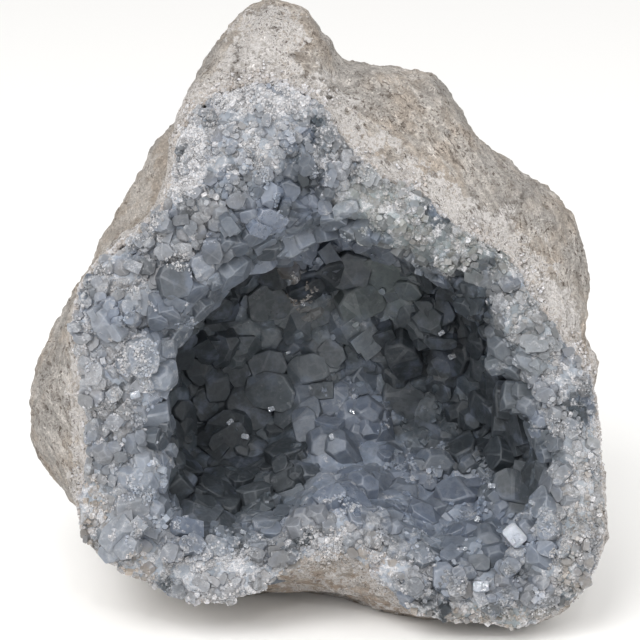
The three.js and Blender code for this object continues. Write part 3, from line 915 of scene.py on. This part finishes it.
@dataclass
class CrystalCrust:
    """The lining of the hollow and the rim."""

    seed: int = 7
    room: float = 0.3
    hollow_room: float = 0.24
    sizes: tuple[Size, ...] = (
        Size("large", LARGE_HABITS, 8000, 5.0, 30.0, 0.25),
        Size("middling", MIDDLING_HABITS, 12000, 2.2, 4.6, 0.34),
        Size("fine", FINE_HABITS, 24000, 0.9, 1.9, 0.25),
    )
    widths: Span = (0.62, 1.3)
    landmark_gloss: float = 0.15
    landmark_sink: float = 0.28
    sugar_tries: int = 100000
    sugar_from_mm: float = 12.0
    sugar_reach_mm: float = 14.0
    sugar_waves_mm: Span = (9.0, 4.0)
    least_sugary: float = 0.2
    swellings_mm: Span = (0.9, 1.5)
    swing_mm: float = 11.0
    recess_shade: float = 1.1
    recess_frost: float = 0.8
    crest_frost: float = 0.6
    edge: Look = Look(3.4, 0.5, 0.0, warm=0.4)
    lip_tries: int = 30000
    lip_reach_mm: float = 9.0
    lip_widths_mm: Span = (2.6, 0.5)
    # The hollow's crystals get painted shade.
    hollow: Look = Look(14.0, 0.0, 0.4, 1.0, 0.3)
    rim: Look = Look(10.5, 0.22, 0.45, 0.17)
    # A patch's shade is painted shade inside the hollow, in the blue recess and in the dark hole, and a
    # darker tone in places on the rim.
    patches: tuple[Patch, ...] = (
        Patch(-20, 154, 26, 20, Look(4.2, 0.15, 0.5, 0.22)),  # sugary top of the dome
        Patch(-18, 172, 18, 5, Look(2.6, 1.3, 0.0)),  # white powder along its upper edge
        Patch(-43, 154, 7, 14, Look(2.6, 1.3, 0.0)),  # and along its left edge
        Patch(3, 160, 5, 8, Look(2.6, 1.0, 0.0)),  # and along its right edge
        Patch(-22, 138, 22, 9, Look(7.0, 0.15, 0.6, 0.25)),  # smoother hanging part of the dome
        Patch(-8, 145, 6, 14, Look(6.0, 0.0, 0.9, 0.75)),  # blue recess at its right
        Patch(-66, 112, 16, 12, Look(9.0, 0.2, 0.4, 0.06)),  # blades at the upper left
        Patch(-66, 88, 14, 16, Look(11.0, 0.28, 0.35, 0.04)),
        Patch(-62, 72, 10, 12, Look(12.0, 0.1, 0.6, 0.2)),
        Patch(-60, 50, 16, 16, Look(12.0, 0.25, 0.3)),  # big pale blocks at the lower left
        Patch(-48, 28, 12, 10, Look(9.0, 0.1, 0.8, 0.3)),
        Patch(-30, 22, 14, 10, Look(4.5, 0.65, 0.2)),
        Patch(-70, 26, 18, 10, Look(2.4, 0.5, 0.0, 0.1, 0.1, 1.0)),  # grey-beige grains at the lower left
        Patch(-78, 38, 11, 20, Look(2.8, 0.45, 0.0, 0.15, 0.1, 1.0)),
        Patch(-64, 26, 10, 8, Look(4.0, 0.35, 0.2, 0.15, 0.1, 0.9)),
        Patch(-44, 10, 24, 7, Look(2.4, 0.5, 0.0, 0.15, 0.1, 1.0)),
        Patch(8, 42, 28, 14, Look(12.0, 0.12, 0.8, 0.03)),  # milky mound in the middle
        Patch(8, 25, 24, 7, Look(2.6, 0.4, 0.0, 0.0, 0.0, 1.0)),  # brown druse under it
        Patch(48, 38, 26, 16, Look(12.5, 0.06, 0.6, 0.22, 0.1)),  # blocky crystals at the lower right
        Patch(44, 18, 30, 9, Look(9.0, 0.2, 0.5, 0.15)),
        Patch(70, 30, 12, 14, Look(8.0, 0.35, 0.4, 0.1)),
        Patch(48, 9, 34, 6, Look(2.4, 0.35, 0.0, 0.2, 0.5, 0.8)),  # greenish-brown grains at the lower right
        Patch(84, 22, 8, 12, Look(2.4, 0.4, 0.0, 0.2, 0.4, 0.7)),
        Patch(86, 50, 9, 28, Look(3.4, 0.42, 0.1, 0.16, 0.2, 0.5)),  # sugary right edge
        Patch(80, 90, 9, 24, Look(6.0, 0.34, 0.2, 0.16)),
        Patch(66, 60, 12, 10, Look(6.0, 0.1, 0.4, 0.5, 0.2)),
        Patch(47, 104, 10, 14, Look(7.0, 0.0, 0.3, 0.95, 0.3)),  # dark hole at the mouth's upper right
        Patch(46, 130, 30, 13, Look(2.6, 0.16, 0.0, 0.46, 0.75, 0.4)),  # greenish druse band
        Patch(18, 140, 12, 10, Look(5.0, 0.3, 0.3, 0.1, 0.6)),
        Patch(66, 100, 10, 14, Look(9.0, 0.15, 0.4, 0.22, 0.25)),
        Patch(-42, 68, 18, 34, Look(15.0, 0.0, 0.5, 1.2, 0.1), True),
        Patch(-14, 78, 18, 22, Look(16.0, 0.0, 0.4, 0.75, 0.4), True),
        Patch(10, 50, 16, 16, Look(15.0, 0.06, 0.8, 0.36), True),
        Patch(0, 122, 44, 16, Look(9.0, 0.0, 0.7, 0.14), True),
        Patch(28, 27, 50, 17, Look(12.5, 0.06, 0.7, 0.16), True),  # the lit floor of the hollow
        Patch(44, 96, 14, 18, Look(9.0, 0.0, 0.3, 1.1, 0.4), True),
        Patch(-7, 97, 5, 9, Look(5.0, 0.3, 0.0, 0.4, 0.0, 1.0), True),  # brownish spot on the back wall
        Patch(20, 92, 16, 18, Look(14.0, 0.04, 0.3, 0.5, 0.6), True),
    )
    landmarks: tuple[Landmark, ...] = (
        Landmark((55, -16, 109), 14, 0.8, 0.25, 0.3, 0.15, 0.4),
        Landmark((73, -29, 72), 9, 1.2, 0.3, 0.6),
        Landmark((10, 23, 50), 14, 1.1, 0.1, 0.8, 0.2),
        Landmark((38, 10, 32), 13, 1.0, 0.05, 0.6, 0.4),
        Landmark((70, -47, 28), 11, 1.0, 0.15, 0.5, 0.2),
        Landmark((41, -50, 22), 9, 1.0, 0.1, 0.6, 0.2),
        Landmark((29, -52, 19), 10, 1.0, 0.3, 0.7),
        Landmark((-64, -28, 108), 10, 1.4, 0.3, 0.3),
        Landmark((-55, -35, 80), 10, 0.6, 0.2, 0.4),
        Landmark((-56, -42, 53), 14, 0.7, 0.35, 0.3),
        Landmark((-10, -16, 163), 10, 0.8, 0.45, 0.4),
        Landmark((8, -33, 39), 15, 0.9, 0.05, 0.8, 0.2),
        Landmark((-6, 1, 39), 14, 0.9, 0.05, 0.8, 0.25),
        Landmark((78, -35, 43), 10, 1.0, 0.4, 0.4),
        Landmark((20, -19, 128), 9, 1.0, 0.2, 0.5, 0.1, 0.4),
        Landmark((-16, -23, 135), 11, 1.0, 0.1, 0.8, 0.15),
    )
    glints: tuple[tuple[float, float, float, float], ...] = (
        (-59, -42, 82, 3.2),
        (-6, 24, 92, 2.6),
        (-11, 30, 72, 1.6),
        (-17, 28, 52, 2.2),
        (-31, 20, 50, 2.4),
        (-26, 22, 44, 2.6),
        (4, 22, 44, 2.0),
        (11, 20, 54, 2.0),
        (45, 14, 76, 3.0),
        (41, 12, 85, 2.2),
        (58, -4, 36, 2.6),
        (52, -24, 32, 2.2),
        (70, -24, 38, 2.2),
        (64, -29, 28, 7.4),
        (47, -40, 28, 2.0),
        (52, -52, 19, 5.0),
        (-25, -40, 34, 2.0),
        (-24, -42, 30, 1.8),
    )

    def look_at(self, seat: Seat) -> Look:
        """What crystals are like at a place."""
        look = self.rim.towards(self.hollow, seat.hollow)
        for patch in self.patches:
            look = look.towards(patch.look, patch.share(seat))
        # Noise puts painted shade where recesses would be, and more frost on the crests between them.
        swing = ripple(seat.p, self.swing_mm * MM, self.swing_mm * MM / 3)
        recess, crest = max(0.0, swing) * (1 - 0.8 * seat.hollow), max(0.0, -swing) * (1 - look.shade)
        frost = look.frost + self.crest_frost * crest - self.recess_frost * recess
        look = replace(look, shade=look.shade + self.recess_shade * recess, frost=frost)
        edge = replace(look, width=min(self.edge.width, look.width), tone=self.edge.tone)
        edge = replace(edge, frost=max(self.edge.frost, look.frost), warm=max(self.edge.warm, look.warm))
        return look.towards(edge, seat.margin * (1 - seat.hollow))

    def spread(self, face: CrustFace, size: Size, taken: list[Crystal]) -> list[Crystal]:
        """Throws crystals at the face and keeps those with room.

        Args:
            face: The crust's face.
            size: How large they are and how many are thrown.
            taken: The crystals that stand there already, which the new ones join.

        Returns:
            The new crystals.
        """
        rng = random.Random(self.seed + size.tries)
        start = len(taken)
        places, widths = np.empty((start + size.tries, 3)), np.empty(start + size.tries)
        for i, crystal in enumerate(taken):
            places[i], widths[i] = crystal.seat.p, crystal.width
        for seat in face.random_seats(size.tries):
            look = self.look_at(seat)
            width = min(look.width, size.usual) * rng.uniform(*self.widths)
            among_large = look.width > 1.5 * size.usual
            # Small crystals sit among large ones mostly where it is frosty.
            if width < size.least or (among_large and rng.random() > 0.3 + 1.6 * look.frost):
                continue
            n = len(taken)
            room = mix(self.room, self.hollow_room, seat.hollow) * MM * (width + widths[:n])
            if n and (((places[:n] - np.array(seat.p)) ** 2).sum(1) < room**2).any():
                continue
            places[n], widths[n] = seat.p, width
            taken.append(self.crystal(seat, look, width, size.sink, rng))
        return taken[start:]

    @staticmethod
    def crystal(seat: Seat, look: Look, width: float, sink: float, rng: random.Random) -> Crystal:
        """One crystal with the look of its place, give or take."""
        return Crystal(
            seat,
            width,
            frost=min(1.0, look.frost * rng.choice((0.3, 0.7, 1.0, 1.5))),
            tone=min(1.0, max(0.0, look.tone + rng.uniform(-0.2, 0.2))),
            shade=max(0.0, look.shade + rng.uniform(-0.06, 0.06)),
            green=min(1.0, look.green * rng.uniform(0.5, 1.4)),
            warm=min(1.0, look.warm * rng.uniform(0.5, 1.4)),
            lean_deg=rng.choice((5, 8, 12, 22)),
            stretch=rng.uniform(0.9, 1.25),
            sink=sink * width * mix(0.6, 1.6, seat.hollow),
            twins=rng.choice((1, 2, 3)) if width > 5 else 0,
        )

    def build(self, frame: dict[str, Any]) -> list[Object]:
        """Grows the whole crust.

        Args:
            frame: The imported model.

        Returns:
            The crust's pieces.
        """
        crust, rock = frame["nodes"]["crystal_crust"], frame["nodes"]["host_rock"]
        face = CrustFace(crust, rock, self.seed)
        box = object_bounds()
        body = self.body(crust, face)
        taken = self.placed(face)
        beds, by_hand = [], list(taken)
        for i, size in enumerate(self.sizes):
            beds.append(CrystalBed(f"crystals_{size.name}", size.habits, self.seed + i, box))
            beds[i].grow_all(by_hand + self.spread(face, size, taken))
            by_hand = []
        large, middling, fine = beds
        tops = [BVHTree.FromBMesh(bm) for bm in (body, *large.meshes, *middling.meshes)]
        sugar = CrystalBed("sugar", SUGAR_HABITS, self.seed + 3, box)
        sugar.grow_all(self.sugar_grains(face, tops) + self.lip_grains(face))
        sparks = CrystalBed("glints", GLINT_HABITS, self.seed, box)
        sparks.grow_all(self.sparks(tops))
        clear, druse = CelestiteFinish().material(), DruseFinish().material()
        pieces = [new_piece("crystal_body", body, druse)]
        for bed in (large, middling, sparks):
            pieces += bed.pieces(clear)
        for bed in (fine, sugar):
            pieces += bed.pieces(druse)
        return pieces

    def placed(self, face: CrustFace) -> list[Crystal]:
        """The crystals that are set one by one."""
        crystals = []
        for mark in self.landmarks:
            seat = face.seat_at(face.tree.find_nearest(Vector(mark.at) * MM)[0])
            traits = (mark.frost, mark.tone, mark.shade, self.landmark_gloss, mark.green)
            crystal = Crystal(seat, mark.width, *traits, lean_deg=6.0, stretch=mark.stretch, twins=2)
            crystals.append(replace(crystal, sink=self.landmark_sink * mark.width))
        return crystals

    def sugar_grains(self, face: CrustFace, tops: list[BVHTree]) -> list[Crystal]:
        """Tiny grains on top of the crystals where the crust is frosty."""
        rng = random.Random(self.seed + 11)
        grains = []
        for seat in face.random_seats(self.sugar_tries):
            look = self.look_at(seat)
            patchy = ripple(seat.p, *(length * MM for length in self.sugar_waves_mm))
            bare = look.frost < self.least_sugary
            if bare or rng.random() > smooth_step(patchy + 1.1 * look.frost, 0.55, 0.8):
                continue
            start = seat.p + seat.out * self.sugar_from_mm * MM
            hit = self.first_hit(tops, start, -seat.out, self.sugar_reach_mm * MM)
            if hit:
                grain_seat = Seat(hit[0], (hit[1] + seat.out).normalized(), seat.hollow)
                width = rng.uniform(0.5, 0.6 + 0.16 * look.width**0.5)
                grain = self.crystal(grain_seat, look, width, 0.25, rng)
                grains.append(replace(grain, frost=look.frost * rng.uniform(0.6, 1.2), lean_deg=40.0))
        return grains

    @staticmethod
    def first_hit(tops: list[BVHTree], start: Vector, way: Vector, reach: float) -> tuple | None:
        """The nearest place that a ray meets on the crystals, as a ray cast gives it."""
        hits = [hit for hit in (top.ray_cast(start, way, reach) for top in tops) if hit[0]]
        return min(hits, key=lambda hit: hit[3]) if hits else None

    def lip_grains(self, face: CrustFace) -> list[Crystal]:
        """Druse that creeps from the crust over the rock, in grains that get smaller on the way."""
        rng = random.Random(self.seed + 12)
        grains = []
        for seat in face.lip_seats(self.lip_tries, self.lip_reach_mm):
            away = seat.hollow
            width = mix(*self.lip_widths_mm, away**0.5) * rng.uniform(0.5, 1.1)
            # A closed seam along the crust, then islands that thin out.
            if away < 0.16 or noise.noise(seat.p / (7 * MM)) > rng.uniform(-0.6, 0.4) + 0.6 * away:
                grain = Crystal(seat, width, rng.uniform(0.4, 1.0), 0.0, warm=0.8)
                grains.append(replace(grain, lean_deg=30.0, sink=0.35 * width))
        return grains

    def sparks(self, tops: list[BVHTree]) -> list[Crystal]:
        """Small bright faces that mirror the glint light towards the front."""
        crystals = []
        for x, y, z, width in self.glints:
            sight = (Vector((x, y, z)) * MM - EYE).normalized()
            p = self.first_hit(tops, EYE, sight, 2 * EYE.length)[0] - sight * 0.5 * MM
            out = ((EYE - p).normalized() + (GLINT_LIGHT - p).normalized()).normalized()
            seat = Seat(p, out, hollow=0.0)
            crystals.append(Crystal(seat, width, 0.4, 0.0, gloss=1.0, lean_deg=0.0, sink=-0.25 * width))
        return crystals

    def body(self, crust: Object, face: CrustFace) -> BMesh:
        """The grown-together mass under the crystals."""
        bm = merged_copy(crust)
        smooth(bm, bm.verts, 0.4, 2)
        bmesh.ops.subdivide_edges(bm, edges=bm.edges, cuts=1, use_grid_fill=True, smooth=0.4)
        triangulate(bm)
        layers = {name: bm.faces.layers.float.new(name) for name in (*TRAITS, "edge")}
        bm.normal_update()
        low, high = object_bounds()
        for v in [v for v in bm.verts if face.is_open(v.co)]:
            grown = v.co + v.normal * mix(*self.swellings_mm, face.seat_at(v.co).hollow) * MM
            v.co = [min(max(c, a), b) for c, a, b in zip(grown, low, high)]
        for f in bm.faces:
            look = self.look_at(face.seat_at(f.calc_center_median()))
            for name in ("tone", "frost", "shade", "green"):
                f[layers[name]] = getattr(look, name)
            f.smooth = True
        return bm


# ---- the rock


@dataclass(frozen=True)
class Frosting:
    """A white patch on the rock: its middle and radius in mm, and how white it is."""

    at: tuple[float, float, float]
    radius: float
    strength: float

    def share(self, p: Vector) -> float:
        """How white a place is, from 0 to 1."""
        far, near = self.radius * 1.6, self.radius * 0.5
        return self.strength * smooth_step((p - Vector(self.at)).length, far, near)


@dataclass
class HostRock:
    """The nodule of marl, with its weathered skin. Sizes are in mm."""

    hidden_gap: float = 1.0
    finest: float = 1.75
    splits: int = 4
    rounding: int = 12
    rest_height: float = 0.3
    lowest: float = 0.05
    frost_reach: float = 20.0
    middle_height: float = 85.0
    layer_stretch: float = 2.2
    layered_from: Span = (20.0, 60.0)
    layered_depths: Span = (40.0, -5.0)
    # The reddish-brown patch at the bottom front, partly painted light.
    stained: Oval = Oval(8, 16, 34, 22)
    lump_size: float = 11.0
    ridge_size: float = 4.5
    long_ridge_size: float = 3.4
    grain_size: float = 1.7
    pit_size: float = 2.2
    long_pit_size: float = 1.5
    pitted_size: float = 12.0
    pit_edge: Span = (0.5, 0.7)
    lump_height: float = 1.1
    lump_sink: float = 0.35
    grain_height: float = 0.7
    pit_depth: float = 0.9
    lip_height: float = 0.5
    lip_width: Span = (3.5, 1.0)
    lip_fade: Span = (0.8, 4.0)
    frosted: tuple[Frosting, ...] = (
        Frosting((-18, 0, 190), 13, 1.0),
        Frosting((40, 0, 158), 4, 1.2),
        # Pale speckles at the bottom front: partly real, and made stronger as painted light for the shade
        # there.
        Frosting((6, -30, 8), 24, 0.6),
    )

    def build(self, frame: dict[str, Any], finish: Material) -> Object:
        """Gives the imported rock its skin.

        Args:
            frame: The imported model.
            finish: The rock's finish.

        Returns:
            The rock.
        """
        crust_bm = merged_copy(frame["nodes"]["crystal_crust"])
        crust_tree = BVHTree.FromBMesh(crust_bm)
        crust_bm.free()
        bm = merged_copy(frame["nodes"]["host_rock"])
        marked = bm.faces.layers.int.new("outside")
        for f in bm.faces:
            f[marked] = gap(crust_tree, f.calc_center_median()) > self.hidden_gap
        self.refine(bm, marked)
        self.round_off(bm, marked)
        self.weather(bm, marked, crust_tree)
        for f in bm.faces:
            f.smooth = f[marked] == 1
        return new_piece("weathered_rock", bm, finish)

    def refine(self, bm: BMesh, marked: Any) -> None:
        """Splits the outside's long edges until the skin can carry its relief."""
        for _ in range(self.splits):
            outside = [f for f in bm.faces if f[marked] == 1]
            edges = {e for f in outside for e in f.edges if e.calc_length() > self.finest * MM}
            bmesh.ops.subdivide_edges(bm, edges=list(edges), cuts=1, use_grid_fill=True)
            triangulate(bm)

    def round_off(self, bm: BMesh, marked: Any) -> None:
        """Rounds the facets of the outside, but not the resting spot or the lip around the crust."""
        high_up = self.rest_height * MM
        loose = [v for v in bm.verts if v.co.z > high_up and all(f[marked] == 1 for f in v.link_faces)]
        smooth(bm, loose, 0.5, self.rounding)

    def layered(self, p: Vector) -> Vector:
        """A place in coordinates that are drawn out along the rock's layers, which run around its middle.

        The parts of x keep the left side from mirroring the right.
        """
        up = p.z - self.middle_height
        radius, angle = math.hypot(p.x, up), abs(math.atan2(p.x, up))
        return Vector((radius + 0.3 * p.x, angle * radius / self.layer_stretch, 0.6 * p.y + 0.25 * p.x))

    def weather(self, bm: BMesh, marked: Any, crust_tree: BVHTree) -> None:
        """Moves the skin in and out for lumps, grain and pits, and marks what the finish needs to know."""
        pit, rim, stain, streaky = (bm.verts.layers.float.new(n) for n in SKIN_MARKS)
        layer = bm.verts.layers.float_vector.new("layer")
        bm.normal_update()
        moves = {}
        for v in bm.verts:
            p = v.co / MM
            to_crust = gap(crust_tree, v.co)
            near_crust = smooth_step(to_crust, self.frost_reach, 1.0)
            v[rim] = max(near_crust, *(patch.share(p) for patch in self.frosted))
            # Reddish-brown patch at the bottom front: partly real colour, partly painted light.
            v[stain] = smooth_step(self.stained.away(p.x, p.z), 1.2, 0.6) * smooth_step(p.y, 10, -20)
            v[layer] = self.layered(p) * MM
            off_axis = math.hypot(p.x, p.z - self.middle_height)
            v[streaky] = smooth_step(off_axis, *self.layered_from) * smooth_step(p.y, *self.layered_depths)
            if not all(f[marked] == 1 for f in v.link_faces) or p.z < self.rest_height:
                continue
            layered = v[layer] / MM
            long_pits = noise.noise(layered / self.long_pit_size)
            pits = mix(noise.noise(p / self.pit_size), long_pits, v[streaky])
            pitted = 0.5 * noise.noise(p / self.pitted_size + Vector((5, 5, 5)))
            v[pit] = hole = smooth_step(pits + pitted, *self.pit_edge)
            long_ridges = noise.noise(layered / self.long_ridge_size + Vector((9, 1, 2)))
            ridges = mix(noise.noise(p / self.ridge_size), long_ridges, v[streaky])
            lumps = self.lump_height * noise.noise(p / self.lump_size) + self.lump_height * ridges
            grain = self.grain_height * noise.noise(p / self.grain_size)
            fade = smooth_step(to_crust, *self.lip_fade)
            lip = self.lip_height * smooth_step(to_crust, *self.lip_width)
            relief = fade * (lumps - self.lump_sink) + grain + lip - self.pit_depth * hole
            moves[v] = v.normal * relief * MM
        for v, move in moves.items():
            v.co += move
            v.co.z = max(v.co.z, self.lowest * MM)


# ---- the studio


@dataclass(frozen=True)
class Lamp:
    """A square light that faces the geode: its place and size in metres, and its watts."""

    name: str
    at: Vector
    size: float
    watts: float

    def build(self, target: Vector) -> None:
        """Hangs the lamp so that it faces the target."""
        data = bpy.data.lights.new(self.name, "AREA")
        data.size = self.size
        data.energy = self.watts
        light = bpy.data.objects.new(self.name, data)
        light.location = self.at
        light.rotation_mode = "QUATERNION"
        light.rotation_quaternion = (target - self.at).to_track_quat("-Z", "Y")
        bpy.context.scene.collection.objects.link(light)


@dataclass
class Studio:
    """Pale paper, the camera, and soft light from a broad key, a weaker fill and a small glint light."""

    elevation_deg: float = 18.0
    distance: float = 0.9
    frame_width: float = 0.220
    aim_up: float = 0.0891
    sensor_mm: float = 36.0
    clip: Span = (0.05, 20.0)
    floor_reach: float = 2.4
    sky_strength: float = 0.9
    lit_height: float = 0.09
    lamps: tuple[Lamp, ...] = (
        Lamp("key", Vector((-0.5, -0.9, 1.1)), 0.8, 15.0),
        Lamp("fill", Vector((0.9, -0.8, 0.5)), 1.0, 5.0),
        Lamp("glint", GLINT_LIGHT, 0.06, 1.6),
    )

    def build(self) -> None:
        """Sets up the whole studio."""
        self.camera()
        self.backdrop()
        self.lights()
        bpy.context.scene.view_settings.view_transform = "Standard"

    def camera(self) -> None:
        """Looks down on the geode's open front."""
        tilt = math.radians(self.elevation_deg)
        up = Vector((0, math.sin(tilt), math.cos(tilt)))
        forward = Vector((0, math.cos(tilt), -math.sin(tilt)))
        data = bpy.data.cameras.new("camera")
        data.sensor_width = self.sensor_mm
        data.lens = self.sensor_mm * self.distance / self.frame_width
        data.clip_start, data.clip_end = self.clip
        camera = bpy.data.objects.new("camera", data)
        camera.location = up * self.aim_up - forward * self.distance
        camera.rotation_mode = "QUATERNION"
        camera.rotation_quaternion = forward.to_track_quat("-Z", "Y")
        bpy.context.scene.collection.objects.link(camera)
        bpy.context.scene.camera = camera

    def backdrop(self) -> None:
        """A wide sheet of pale paper on the ground."""
        bm = bmesh.new()
        bmesh.ops.create_grid(bm, x_segments=2, y_segments=2, size=self.floor_reach)
        floor = new_piece("floor", bm, BackdropFinish().material())
        floor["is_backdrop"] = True

    def lights(self) -> None:
        """The lamps and a pale sky."""
        for lamp in self.lamps:
            lamp.build(Vector((0, 0, self.lit_height)))
        world = bpy.data.worlds.new("sky")
        world.use_nodes = True
        background = world.node_tree.nodes["Background"]
        background.inputs["Color"].default_value = (1, 1, 1, 1)
        background.inputs["Strength"].default_value = self.sky_strength
        bpy.context.scene.world = world


# ---- the whole


def corners(box: Iterable[Vector]) -> list[list[float]]:
    """A box's corners as plain lists."""
    return [list(corner) for corner in box]


def main() -> None:
    """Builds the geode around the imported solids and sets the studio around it."""
    logging.basicConfig(level=logging.INFO, format="%(name)s: %(message)s")
    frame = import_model()
    crust_pieces = CrystalCrust().build(frame)
    rock = HostRock().build(frame, MarlFinish().material())
    for piece in crust_pieces:
        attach(piece, "root")
        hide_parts("crystal_crust")
    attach(rock, "root")
    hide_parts("host_rock")
    Studio().build()


if __name__ == "__main__":
    main()
